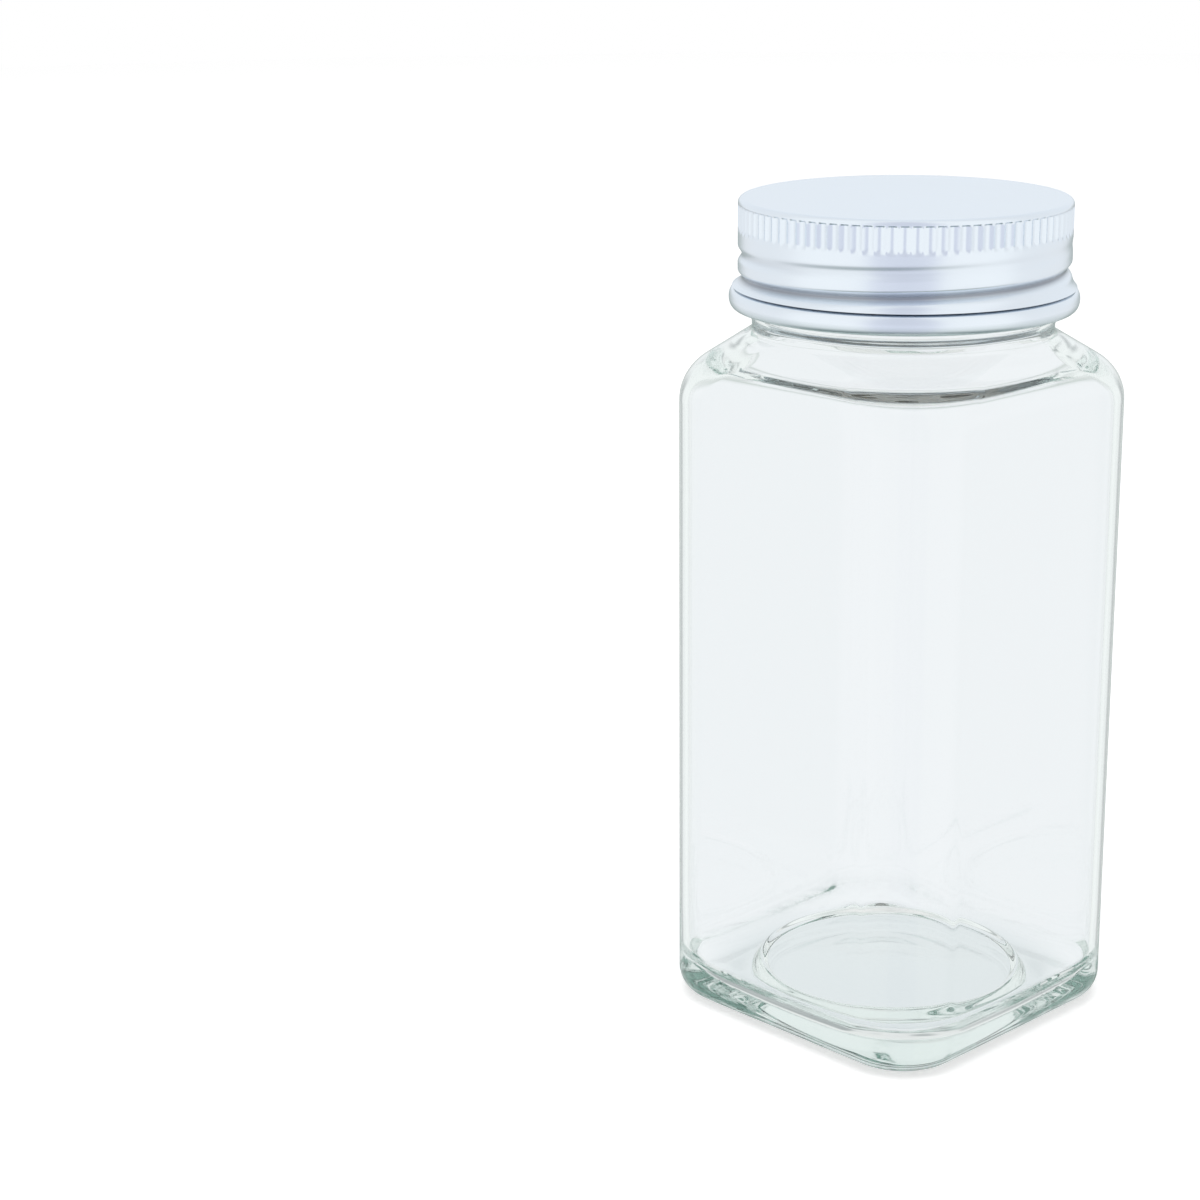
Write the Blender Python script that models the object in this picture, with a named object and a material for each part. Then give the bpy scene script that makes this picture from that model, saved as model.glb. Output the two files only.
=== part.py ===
"""A square glass spice jar with a shaker insert and a fluted aluminium screw cap.

The jar stands on the origin with its flat sides facing X and Y. Lengths are in metres.
"""

import math

import bmesh
import bpy

TAU = math.tau

# Glass body, from the table up
BODY_WIDTH = 0.0465
CORNER_RADIUS = 0.0092
HEEL_RADIUS = 0.0036
GLASS_WALL = 0.0012
FLOOR_HEIGHT = 0.0032
FLOOR_RADIUS = 0.0186
BOWL_RISE = 0.0044
RING_RADIUS = 0.0173
RING_RISE = 0.0018
DISH_RADIUS = 0.0162
DISH_RISE = 0.0011
FLOOR_CROWN = 0.0004
PUSH_UP_RADIUS = 0.0178
PUSH_UP_DEPTH = 0.0008

# Shoulder and neck
MOUTH_HEIGHT = 0.1072
NECK_HEIGHT = 0.0139
SHOULDER_ROUND = 0.00665
SHOULDER_SLOPE = math.radians(30)
NECK_RADIUS = 0.0196
NECK_WALL = 0.0020
NECK_FILLET = 0.0010
BORE_FILLET = 0.0015
LIP_ROUND = 0.0006
COLLAR_RISE = 0.0024
COLLAR_WIDTH = 0.0026
COLLAR_HEIGHT = 0.0005

# Thread shared by the neck's glass bead and the cap's rolled groove
THREAD_LEAD = 0.003175
THREAD_START = math.radians(-200)
THREAD_RUN_IN = math.radians(38)
BEAD_HEIGHT = 0.00125
BEAD_WIDTH = 0.0026
BEAD_FIRST = math.radians(-80)
BEAD_LAST = math.radians(435)
GROOVE_DEPTH = 0.00075
GROOVE_WIDTH = 0.0022
GROOVE_LAST = math.radians(690)
GROOVE_RUN_OUT = math.radians(420)
GROOVE_RISE = 0.00313
THREAD_CLEARANCE = 0.00035

# Shaker insert
FIT_GAP = 0.0003
FLANGE_THICKNESS = 0.0009
PLUG_DEPTH = 0.0050
PLUG_WALL = 0.0010
SIEVE_THICKNESS = 0.0010
SIEVE_HOLE_DIAMETER = 0.0065
SIEVE_WEB = 0.0033
SIEVE_RING_HOLES = 6
CUT_OVERRUN = 0.0010

# Liner and cap
LINER_THICKNESS = 0.0012
CAP_WALL = 0.0003
CAP_HEIGHT = 0.0141
RIM_WIDTH = 0.0007
RIM_DROP = 0.0007
FLUTES = 90
FLUTE_DEPTH = 0.0003
FLUTE_LENGTH = 0.0037
FLUTE_FADE = 0.0002
SKIRT_FLARE = 0.00075
FLARE_RISE = 0.0017
CREASE_DEPTH = 0.0008
CREASE_WIDTH = 0.00025
CURL_PROUD = 0.00115
CURL_WIDTH = 0.00135
CURL_HEIGHT = 0.0025
CURL_SEAM = math.radians(70)

# How finely the round shapes are divided
CORNER_STEPS = 8
FLAT_STEPS = 4
RING_STEPS = CORNER_STEPS + FLAT_STEPS
ROUND_STEPS = 4
FILLET_STEPS = 3
THREAD_ROWS = 18
CAP_STEPS = 60
HOLE_STEPS = 20
WELD = 0.000001
# Whole turns on either side of the thread's start that a place is tried at
THREAD_TURNS = range(-2, 4)

# Sizes that follow from the ones above
SHOULDER_TOP = MOUTH_HEIGHT - NECK_HEIGHT
BORE_RADIUS = NECK_RADIUS - NECK_WALL
PLUG_RADIUS = BORE_RADIUS - FIT_GAP
WELL_RADIUS = PLUG_RADIUS - PLUG_WALL
FLANGE_BOTTOM = MOUTH_HEIGHT + FIT_GAP
FLANGE_TOP = FLANGE_BOTTOM + FLANGE_THICKNESS
PLUG_BOTTOM = FLANGE_BOTTOM - PLUG_DEPTH
LINER_BOTTOM = FLANGE_TOP + FIT_GAP
CAP_TOP = LINER_BOTTOM + LINER_THICKNESS + FIT_GAP + CAP_WALL
CAP_BOTTOM = CAP_TOP - CAP_HEIGHT
CAP_RADIUS = NECK_RADIUS + BEAD_HEIGHT + THREAD_CLEARANCE + CAP_WALL
TOP_RADIUS = CAP_RADIUS - RIM_WIDTH
FLUTE_BORE = CAP_RADIUS - FLUTE_DEPTH - CAP_WALL
LINER_RADIUS = FLUTE_BORE - FIT_GAP
FLUTE_TOP = CAP_TOP - RIM_DROP
FLUTE_BOTTOM = FLUTE_TOP - FLUTE_LENGTH
SKIRT_BOTTOM = CAP_BOTTOM + CURL_HEIGHT + CREASE_WIDTH
FLUTE_CUTS = 2 * FLUTES // CAP_STEPS - 1


def clear_scene():
    for obj in list(bpy.data.objects):
        bpy.data.objects.remove(obj, do_unlink=True)


def new_collection(name):
    collection = bpy.data.collections.new(name)
    bpy.context.scene.collection.children.link(collection)
    return collection


def new_material(name, colour, roughness, metallic=0.0, transmission=0.0):
    material = bpy.data.materials.new(name)
    material.use_nodes = True
    shader = material.node_tree.nodes["Principled BSDF"]
    shader.inputs["Base Color"].default_value = (*colour, 1.0)
    shader.inputs["Roughness"].default_value = roughness
    shader.inputs["Metallic"].default_value = metallic
    shader.inputs["Transmission Weight"].default_value = transmission
    return material


def new_object(name, bm, collection, material=None):
    """Turns the bmesh into a named object, with its doubles merged and its faces pointing out."""
    bmesh.ops.remove_doubles(bm, verts=bm.verts, dist=WELD)
    bmesh.ops.recalc_face_normals(bm, faces=bm.faces)
    mesh = bpy.data.meshes.new(name)
    bm.to_mesh(mesh)
    bm.free()
    mesh.shade_smooth()
    mesh.set_sharp_from_angle(angle=math.radians(35))
    obj = bpy.data.objects.new(name, mesh)
    if material:
        mesh.materials.append(material)
    collection.objects.link(obj)
    return obj


def arc(centre, reach, rise, start, end, steps):
    """Points along an elliptical arc of a turned outline, as (radius, height)."""
    points = []
    for i in range(steps + 1):
        angle = start + (end - start) * i / steps
        points.append((centre[0] + reach * math.cos(angle), centre[1] + rise * math.sin(angle)))
    return points


def evenly(start, end, steps):
    return [start + (end - start) * i / steps for i in range(steps + 1)]


def thread_share(angle, height, first, last, run_out, offset, width):
    """The share of its full height that a helical ridge has at this place, from 0 to 1."""
    share = 0.0
    for turn in THREAD_TURNS:
        along = angle - THREAD_START + TAU * turn
        centre = CAP_BOTTOM + GROOVE_RISE + offset + THREAD_LEAD * along / TAU
        across = 2 * abs(height - centre) / width
        if first < along < last and across < 1:
            fade = min(1.0, (along - first) / THREAD_RUN_IN, (last - along) / run_out)
            share = max(share, fade * math.cos(across * math.pi / 2) ** 2)
    return share


def move_radially(vert, distance):
    radius = math.hypot(vert.co.x, vert.co.y)
    scale = (radius + distance) / radius
    vert.co.x *= scale
    vert.co.y *= scale


# The jar: rings of points that go from a rounded square to a circle


def square_ring(half, corner):
    """A rounded square, each quarter a corner arc and then the flat that follows it."""
    points = []
    centre = half - corner
    for quarter in range(4):
        turn = quarter * math.pi / 2
        places = []
        for i in range(CORNER_STEPS + 1):
            angle = i * math.pi / 2 / CORNER_STEPS
            places.append((centre + corner * math.cos(angle), centre + corner * math.sin(angle)))
        for i in range(1, FLAT_STEPS):
            places.append((centre * (1 - 2 * i / FLAT_STEPS), half))
        for x, y in places:
            points.append(
                (x * math.cos(turn) - y * math.sin(turn), x * math.sin(turn) + y * math.cos(turn))
            )
    return points


def round_ring(radius):
    """A circle whose points pair off with the rounded square's."""
    points = []
    for i in range(4 * RING_STEPS):
        angle = math.pi / 4 + (i - CORNER_STEPS / 2) * math.pi / 2 / RING_STEPS
        points.append((radius * math.cos(angle), radius * math.sin(angle)))
    return points


def blended_ring(half, corner, radius, blend, height):
    pairs = zip(square_ring(half, corner), round_ring(radius))
    return [
        (sx + (rx - sx) * blend, sy + (ry - sy) * blend, height) for (sx, sy), (rx, ry) in pairs
    ]


def flat_ring(points, height):
    return [(x, y, height) for x, y in points]


def shoulder_outline(half, corner, rounding, radius, top, fillet):
    """The shoulder over a corner, from the upright wall to the neck, as (share inwards, height)."""
    reach = (half - corner) * math.sqrt(2) + corner
    turn = math.pi / 2 - SHOULDER_SLOPE
    meet = top - (reach - radius) * math.tan(SHOULDER_SLOPE)
    start = meet - rounding * math.tan(turn / 2)
    outline = arc((reach - rounding, start), rounding, rounding, 0, turn, ROUND_STEPS)
    side = radius + fillet
    level = top + fillet * math.tan(turn / 2)
    outline += arc((side, level), fillet, fillet, math.pi + turn, math.pi, FILLET_STEPS)
    return [((reach - x) / (reach - radius), z) for x, z in outline]


def jar_rings():
    """From the middle of the base, round the outside, over the lip and down the inside."""
    half = BODY_WIDTH / 2
    inner_half = half - GLASS_WALL
    inner_corner = CORNER_RADIUS - GLASS_WALL
    rings = []
    for share in evenly(0, 1, ROUND_STEPS)[1:]:
        rise = math.cos(share * math.pi / 2) ** 2
        rings.append(flat_ring(round_ring(PUSH_UP_RADIUS * share), PUSH_UP_DEPTH * rise))
    for inset, height in arc((0, HEEL_RADIUS), HEEL_RADIUS, HEEL_RADIUS, -TAU / 4, 0, ROUND_STEPS):
        side = half - HEEL_RADIUS + inset
        rings.append(flat_ring(square_ring(side, side - half + CORNER_RADIUS), height))
    outline = shoulder_outline(half, CORNER_RADIUS, SHOULDER_ROUND, NECK_RADIUS, SHOULDER_TOP, NECK_FILLET)
    for share, height in outline:
        rings.append(blended_ring(half, CORNER_RADIUS, NECK_RADIUS, share, height))
    collar = SHOULDER_TOP + COLLAR_RISE
    for side in (-1, 0, 1):
        proud = COLLAR_HEIGHT * (1 - abs(side))
        rings.append(flat_ring(round_ring(NECK_RADIUS + proud), collar + side * COLLAR_WIDTH / 2))
    for height in evenly(SKIRT_BOTTOM, MOUTH_HEIGHT - LIP_ROUND, THREAD_ROWS)[:-1]:
        rings.append(flat_ring(round_ring(NECK_RADIUS), height))
    centre = (NECK_RADIUS - LIP_ROUND, MOUTH_HEIGHT - LIP_ROUND)
    for radius, height in arc(centre, LIP_ROUND, LIP_ROUND, 0, TAU / 4, FILLET_STEPS):
        rings.append(flat_ring(round_ring(radius), height))
    centre = (BORE_RADIUS + LIP_ROUND, MOUTH_HEIGHT - LIP_ROUND)
    for radius, height in arc(centre, LIP_ROUND, LIP_ROUND, TAU / 4, TAU / 2, FILLET_STEPS):
        rings.append(flat_ring(round_ring(radius), height))
    top = SHOULDER_TOP + NECK_WALL * math.tan(SHOULDER_SLOPE) - GLASS_WALL / math.cos(SHOULDER_SLOPE)
    rounding = SHOULDER_ROUND - GLASS_WALL
    outline = shoulder_outline(inner_half, inner_corner, rounding, BORE_RADIUS, top, BORE_FILLET)
    for share, height in reversed(outline):
        rings.append(blended_ring(inner_half, inner_corner, BORE_RADIUS, share, height))
    bowl = arc((1, FLOOR_HEIGHT + BOWL_RISE), 1, BOWL_RISE, TAU / 2, TAU * 3 / 4, ROUND_STEPS + 1)
    for share, height in bowl:
        rings.append(blended_ring(inner_half, inner_corner, FLOOR_RADIUS, share, height))
    floor = [(FLOOR_RADIUS, 0), (RING_RADIUS, RING_RISE), (DISH_RADIUS, DISH_RISE)]
    floor += [(0, DISH_RISE + FLOOR_CROWN)]
    for (radius, rise), (next_radius, next_rise) in zip(floor, floor[1:]):
        for share in evenly(0, 1, FILLET_STEPS)[1:]:
            soft = math.sin(share * TAU / 4) ** 2
            width = radius + (next_radius - radius) * share
            rings.append(flat_ring(round_ring(width), FLOOR_HEIGHT + rise + (next_rise - rise) * soft))
    return rings[:-1]


def make_jar(collection, material):
    bm = bmesh.new()
    rings = [[bm.verts.new(point) for point in ring] for ring in jar_rings()]
    count = len(rings[0])
    for low, high in zip(rings, rings[1:]):
        for i in range(count):
            j = (i + 1) % count
            bm.faces.new((low[i], low[j], high[j], high[i]))
    ends = ((rings[0], PUSH_UP_DEPTH), (rings[-1], FLOOR_HEIGHT + DISH_RISE + FLOOR_CROWN))
    for ring, height in ends:
        middle = bm.verts.new((0, 0, height))
        for i in range(count):
            bm.faces.new((middle, ring[i], ring[(i + 1) % count]))
    for vert in bm.verts:
        if math.hypot(vert.co.x, vert.co.y) < NECK_RADIUS - WELD or vert.co.z < SKIRT_BOTTOM - WELD:
            continue
        angle = math.atan2(vert.co.y, vert.co.x)
        bead = (BEAD_FIRST, BEAD_LAST, THREAD_RUN_IN, THREAD_LEAD / 2, BEAD_WIDTH)
        move_radially(vert, BEAD_HEIGHT * thread_share(angle, vert.co.z, *bead))
    return new_object("glass_jar", bm, collection, material)


# Turned pieces


def turned(profile, steps):
    """Spins an outline of (radius, height) points, which starts and ends on the axis."""
    bm = bmesh.new()
    verts = [bm.verts.new((radius, 0, height)) for radius, height in profile]
    edges = [bm.edges.new(pair) for pair in zip(verts, verts[1:])]
    bmesh.ops.spin(
        bm,
        geom=verts + edges,
        cent=(0, 0, 0),
        axis=(0, 0, 1),
        dvec=(0, 0, 0),
        angle=TAU,
        steps=steps,
        use_merge=True,
    )
    return bm


def make_insert(collection, cutters, material):
    """A plug with a flange on the mouth, and a sieve across the bottom of its well."""
    sieve_top = PLUG_BOTTOM + SIEVE_THICKNESS
    profile = [
        (0, sieve_top),
        (WELL_RADIUS, sieve_top),
        (WELL_RADIUS, FLANGE_TOP),
        (NECK_RADIUS, FLANGE_TOP),
        (NECK_RADIUS, FLANGE_BOTTOM),
        (PLUG_RADIUS, FLANGE_BOTTOM),
        (PLUG_RADIUS, PLUG_BOTTOM),
        (0, PLUG_BOTTOM),
    ]
    insert = new_object("shaker_insert", turned(profile, 4 * RING_STEPS), collection, material)
    bm = bmesh.new()
    pitch = SIEVE_HOLE_DIAMETER + SIEVE_WEB
    places = [(0, 0)]
    for i in range(SIEVE_RING_HOLES):
        angle = TAU * i / SIEVE_RING_HOLES
        places.append((pitch * math.cos(angle), pitch * math.sin(angle)))
    for x, y in places:
        made = bmesh.ops.create_cone(
            bm,
            cap_ends=True,
            segments=HOLE_STEPS,
            radius1=SIEVE_HOLE_DIAMETER / 2,
            radius2=SIEVE_HOLE_DIAMETER / 2,
            depth=SIEVE_THICKNESS + 2 * CUT_OVERRUN,
        )
        bmesh.ops.translate(bm, verts=made["verts"], vec=(x, y, PLUG_BOTTOM + SIEVE_THICKNESS / 2))
    drill = new_object("sieve_drill", bm, cutters)
    drill.hide_render = True
    drill.display_type = "WIRE"
    cut = insert.modifiers.new("sieve_holes", "BOOLEAN")
    cut.operation = "DIFFERENCE"
    cut.object = drill
    return insert


def make_liner(collection, material):
    """The soft disc that the cap presses on the insert's flange."""
    bm = bmesh.new()
    bmesh.ops.create_cone(
        bm,
        cap_ends=True,
        segments=CAP_STEPS,
        radius1=LINER_RADIUS,
        radius2=LINER_RADIUS,
        depth=LINER_THICKNESS,
    )
    bmesh.ops.translate(bm, verts=bm.verts, vec=(0, 0, LINER_BOTTOM + LINER_THICKNESS / 2))
    return new_object("cap_liner", bm, collection, material)


def cap_profile():
    """Down the outside from the middle of the top, round the curl, and up the inside."""
    outside = [(0, CAP_TOP)]
    outside += arc((TOP_RADIUS, FLUTE_TOP), RIM_WIDTH, RIM_DROP, TAU / 4, 0, ROUND_STEPS)
    outside += [(CAP_RADIUS, FLUTE_TOP - FLUTE_FADE), (CAP_RADIUS, FLUTE_BOTTOM + FLUTE_FADE)]
    bore = CAP_RADIUS - CAP_WALL
    wall = []
    inside = []
    for height in evenly(FLUTE_BOTTOM, SKIRT_BOTTOM, THREAD_ROWS):
        flare = max(0.0, 1 - (height - SKIRT_BOTTOM) / FLARE_RISE) ** 2
        wall.append((CAP_RADIUS + SKIRT_FLARE * flare, height))
        inside.insert(0, (bore, height))
    crease = [(CAP_RADIUS + SKIRT_FLARE - CREASE_DEPTH, SKIRT_BOTTOM - CREASE_WIDTH / 2)]
    middle = (CAP_RADIUS + CURL_PROUD - CURL_WIDTH / 2, CAP_BOTTOM + CURL_HEIGHT / 2)
    curl = arc(middle, CURL_WIDTH / 2, CURL_HEIGHT / 2, CURL_SEAM, -TAU / 4, 2 * ROUND_STEPS)
    curl += arc(middle, middle[0] - bore, CURL_HEIGHT / 2, -TAU / 4, -TAU / 2, FILLET_STEPS)[1:]
    inside.append((FLUTE_BORE, FLUTE_BOTTOM + FLUTE_FADE))
    inner_rise = RIM_DROP - CAP_WALL
    inside += arc((TOP_RADIUS, FLUTE_TOP), FLUTE_BORE - TOP_RADIUS, inner_rise, 0, TAU / 4, FILLET_STEPS)
    return outside + wall + crease + curl + inside + [(0, CAP_TOP - CAP_WALL)]


def on_flutes(point):
    """True on the two outer rows between which the flutes run at full depth."""
    rows = (FLUTE_TOP - FLUTE_FADE, FLUTE_BOTTOM + FLUTE_FADE)
    outer = math.hypot(point.x, point.y) > CAP_RADIUS - FLUTE_DEPTH / 2
    return outer and any(abs(point.z - row) < WELD for row in rows)


def make_cap(collection, material):
    bm = turned(cap_profile(), CAP_STEPS)
    bmesh.ops.remove_doubles(bm, verts=bm.verts, dist=WELD)
    rows = []
    for edge in bm.edges:
        first, second = edge.verts
        level = abs(first.co.z - second.co.z) < WELD
        if level and on_flutes(first.co) and on_flutes(second.co):
            rows.append(edge)
    bmesh.ops.subdivide_edges(bm, edges=rows, cuts=FLUTE_CUTS)
    for vert in bm.verts:
        angle = math.atan2(vert.co.y, vert.co.x)
        if on_flutes(vert.co):
            dip = FLUTE_DEPTH * (round(angle * FLUTES / math.pi) % 2)
            move_radially(vert, CAP_RADIUS - dip - math.hypot(vert.co.x, vert.co.y))
        elif SKIRT_BOTTOM - WELD < vert.co.z < FLUTE_BOTTOM + WELD:
            groove = (0, GROOVE_LAST, GROOVE_RUN_OUT, 0, GROOVE_WIDTH)
            move_radially(vert, -GROOVE_DEPTH * thread_share(angle, vert.co.z, *groove))
    return new_object("screw_cap", bm, collection, material)


def main():
    clear_scene()
    parts = new_collection("spice_shaker")
    cutters = new_collection("cutters")
    glass = new_material("soda_lime_glass", (0.80, 0.88, 0.85), 0.02, transmission=1.0)
    white = new_material("moulded_polypropylene", (0.82, 0.83, 0.82), 0.45)
    foam = new_material("foamed_polyethylene", (0.78, 0.78, 0.75), 0.85)
    metal = new_material("rolled_aluminium", (0.80, 0.82, 0.84), 0.30, metallic=1.0)
    make_jar(parts, glass)
    make_insert(parts, cutters, white)
    make_liner(parts, foam)
    make_cap(parts, metal)


main()
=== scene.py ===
"""The looks of a square glass spice jar with a shaker insert and a fluted aluminium screw cap.

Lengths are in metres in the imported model's frame, with +Z up and the jar's flat sides facing X
and Y.
"""

import math

import bmesh
import bpy
from mathutils import Matrix, Vector


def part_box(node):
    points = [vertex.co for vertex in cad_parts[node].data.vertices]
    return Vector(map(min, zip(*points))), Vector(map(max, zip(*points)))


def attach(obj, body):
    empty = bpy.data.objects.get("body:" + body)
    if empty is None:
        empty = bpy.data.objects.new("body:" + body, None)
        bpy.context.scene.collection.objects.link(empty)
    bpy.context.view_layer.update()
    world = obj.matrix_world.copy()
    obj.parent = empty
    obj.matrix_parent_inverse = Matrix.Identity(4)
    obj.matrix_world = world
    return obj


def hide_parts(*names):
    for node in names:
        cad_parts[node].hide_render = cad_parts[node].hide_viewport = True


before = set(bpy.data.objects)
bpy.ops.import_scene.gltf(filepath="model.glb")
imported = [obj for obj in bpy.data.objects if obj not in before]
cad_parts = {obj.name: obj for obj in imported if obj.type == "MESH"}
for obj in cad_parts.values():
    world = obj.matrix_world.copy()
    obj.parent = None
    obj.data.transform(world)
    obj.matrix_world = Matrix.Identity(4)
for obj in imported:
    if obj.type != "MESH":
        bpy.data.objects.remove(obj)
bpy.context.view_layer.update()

TAU = math.tau
MM = 0.001

jar_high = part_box("glass_jar")[1]
insert_low, insert_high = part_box("shaker_insert")
liner_low, liner_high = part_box("cap_liner")
cap_low, cap_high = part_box("screw_cap")

# Glass body
BODY_HALF = jar_high.x
CORNER_RADIUS = 9.2 * MM
HEEL_RADIUS = 3.6 * MM
GLASS_WALL = 1.2 * MM
FLOOR_HEIGHT = 3.2 * MM
FLOOR_RADIUS = 18.6 * MM
BOWL_RISE = 4.4 * MM
RING_RADIUS = 17.3 * MM
RING_RISE = 1.8 * MM
DISH_RADIUS = 16.2 * MM
DISH_RISE = 1.1 * MM
FLOOR_CROWN = 0.4 * MM
PUSH_UP_RADIUS = 17.8 * MM
PUSH_UP_DEPTH = 0.8 * MM

# Shoulder, neck and mouth. Inside, the shoulder is flatter at the corners, and a wide fillet takes
# it into the bore, so that its thick glass mirrors a dark line. INNER_DROP is how far its corner
# lies below the outer one's
MOUTH_HEIGHT = jar_high.z
NECK_HEIGHT = 13.9 * MM
SHOULDER_TOP = MOUTH_HEIGHT - NECK_HEIGHT
SHOULDER_ROUND = 6.65 * MM
SHOULDER_SLOPE = math.radians(30)
INNER_ROUND = 5.0 * MM
INNER_SLOPE = math.radians(14)
INNER_DROP = 0.3 * MM
NECK_RADIUS = 19.6 * MM
NECK_WALL = 2.0 * MM
NECK_FILLET = 1.0 * MM
BORE_FILLET = 8.0 * MM
LIP_ROUND = 0.6 * MM
COLLAR_RISE = 2.4 * MM
COLLAR_WIDTH = 2.6 * MM
COLLAR_HEIGHT = 0.5 * MM
BORE_RADIUS = NECK_RADIUS - NECK_WALL

# Thread shared by the neck's bead and the cap's rolled groove
THREAD_LEAD = 3.175 * MM
THREAD_START = math.radians(-200)
THREAD_RUN_IN = math.radians(38)
GROOVE_RUN_OUT = math.radians(420)
GROOVE_RISE = 3.13 * MM
GROOVE_DEPTH = 0.75 * MM
GROOVE_WIDTH = 2.2 * MM
GROOVE_LAST = math.radians(690)
BEAD_HEIGHT = 1.25 * MM
BEAD_WIDTH = 2.6 * MM
BEAD_FIRST = math.radians(-80)
BEAD_LAST = math.radians(435)
THREAD_TURNS = range(-2, 4)

# Cap
CAP_TOP = cap_high.z
CAP_BOTTOM = cap_low.z
CURL_RADIUS = cap_high.x
CURL_PROUD = 1.15 * MM
CAP_RADIUS = CURL_RADIUS - CURL_PROUD
CAP_WALL = 0.3 * MM
RIM_WIDTH = 0.7 * MM
RIM_DROP = 0.7 * MM
FLUTES = 90
FLUTE_DEPTH = 0.3 * MM
FLUTE_LENGTH = 3.7 * MM
FLUTE_FADE_TOP = 0.20 * MM
FLUTE_FADE_BOTTOM = 0.70 * MM
SKIRT_FLARE = 0.75 * MM
FLARE_RISE = 1.7 * MM
CREASE_DEPTH = 0.8 * MM
CREASE_WIDTH = 0.25 * MM
CURL_WIDTH = 1.35 * MM
CURL_HEIGHT = 2.5 * MM
CURL_SEAM = math.radians(70)

# How far painted shade dims the metal deep in the groove, in the open gap over the curl, and under
# the curl, where a painted greenish reflection of the glass tints it too
GROOVE_SHADE = 0.8
CREASE_SHADE = 0.45
CURL_SHADE = 0.5

# Insert and liner
FIT_GAP = 0.3 * MM
PLUG_WALL = 1.0 * MM
SIEVE_THICKNESS = 1.0 * MM
SIEVE_HOLE_DIAMETER = 6.5 * MM
SIEVE_WEB = 3.3 * MM
SIEVE_RING_HOLES = 6
INSERT_ROUND = 0.25 * MM
LINER_ROUND = 0.2 * MM

# How finely the round shapes are divided
CORNER_STEPS = 24
FLAT_STEPS = 12
ROUND_STEPS = 14
SMALL_STEPS = 4
RIM_STEPS = 10
CURL_STEPS = 16
CAP_BORE_STEPS = 8
CAP_TOP_RINGS = (0, 0.5, 0.9, 0.97)
NECK_ROW = 0.3 * MM
CAP_ROW = 0.2 * MM
CAP_COLUMNS = 8 * FLUTES
INSIDE_COLUMNS = 144
HOLE_COLUMNS = 48
FLOOR_COLUMNS = 96
SHARP_ANGLE = math.radians(40)
WELD = 0.001 * MM

# Camera, from the photograph's viewing angle
CAMERA_PLACE = Vector((223.70 * MM, -268.00 * MM, 158.67 * MM))
CAMERA_YAW = math.radians(46.384)
CAMERA_PITCH = math.radians(16.367)
CAMERA_ROLL = math.radians(-0.534)
CAMERA_LENS = 80.909

# Stage. FRONT is the way from the jar to the middle of the studio's lit side. The shades are by
# degrees round from there, or up from level where the name ends in UP. ROOM is what the metal and
# the outside of the glass mirror, above and below the horizon. EDGES and BASE are what shows after a
# turn inside the glass: rays below EDGES_END see the one and rays above BASE_START the other.
# THROUGH is what shows straight through the glass, where the paper under the jar has a painted
# shadow, out to SHADE_RADIUS
LAMP_PLACE = (0.1, -0.2, 1.2)
LAMP_TARGET = (0, 0, 0.05)
LAMP_SIZE = 1.0
LAMP_WATTS = 6.0
DAYLIGHT = 0.45
PAPER_GLOW = 0.5
LIGHT_TURNS = 320
FLOOR_REACH = 1.5
FLOOR_DROP = 0.1 * MM
FRONT = math.radians(-50)
HORIZON = math.radians(5)
BACKDROP = "#F2F6F9"
PAPER_PAINTED_SHADOW = "#DDE5E8"
SHADE_RADIUS = 21 * MM
SHADE_FADE = 6 * MM
ROOM_LIGHT = 1.15
ROOM_ABOVE = (
    (0, "#D0D2DC"),
    (20, "#D6D8E2"),
    (27, "#F5F6F6"),
    (72, "#F5F6F6"),
    (88, "#E8E9EA"),
    (180, "#E6EAEE"),
)
ROOM_BELOW = (
    (0, "#D8DAE4"),
    (20, "#DCDEE8"),
    (27, "#F5F6F6"),
    (72, "#F5F6F6"),
    (88, "#EAEBEC"),
    (140, "#E6E7E8"),
    (158, "#A8B0AE"),
    (180, "#9CA6A4"),
)
ROOM_UP = ((-90, "#7E8A8A"), (-58, "#98A2A2"), (-38, "#FAFAFA"), (-10, "#FFFFFF"), (90, "#FAFAFA"))
EDGES_ROUND = (
    (0, "#E1E4E3"),
    (70, "#EDEFEE"),
    (100, "#D4DCDA"),
    (134, "#F2F8F7"),
    (150, "#F2F8F7"),
    (157, "#A4ACAC"),
    (163, "#A4ACAC"),
    (170, "#E4E8E7"),
    (180, "#E4E8E7"),
)
BASE_ROUND = ((0, "#D6E0DD"), (60, "#D6E0DD"), (100, "#F0F6F5"), (180, "#F0F6F5"))
EDGES_END = math.radians(5)
BASE_START = math.radians(14)
THROUGH_UP = (
    (-90, "#A4B2AE"),
    (-60, "#B8C4C0"),
    (-42, BACKDROP),
    (4, BACKDROP),
    (22, "#C4CECB"),
    (90, "#A4B2AE"),
)


# Materials


def linear(code):
    """A hex sRGB colour as linear red, green, blue and full alpha."""
    shares = [int(code[i : i + 2], 16) / 255 for i in (1, 3, 5)]
    return [s / 12.92 if s <= 0.04045 else ((s + 0.055) / 1.055) ** 2.4 for s in shares] + [1.0]


def add_node(tree, kind, inputs=None, **settings):
    """Adds a node, sets what it is given, and links the inputs that name another node's output."""
    node = tree.nodes.new(kind)
    for name, value in settings.items():
        setattr(node, name, value)
    for name, value in (inputs or {}).items():
        if isinstance(value, bpy.types.NodeSocket):
            tree.links.new(value, node.inputs[name])
        else:
            node.inputs[name].default_value = value
    return node


def new_material(name):
    material = bpy.data.materials.new(name)
    material.use_nodes = True
    material.node_tree.nodes.clear()
    return material, material.node_tree


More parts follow.
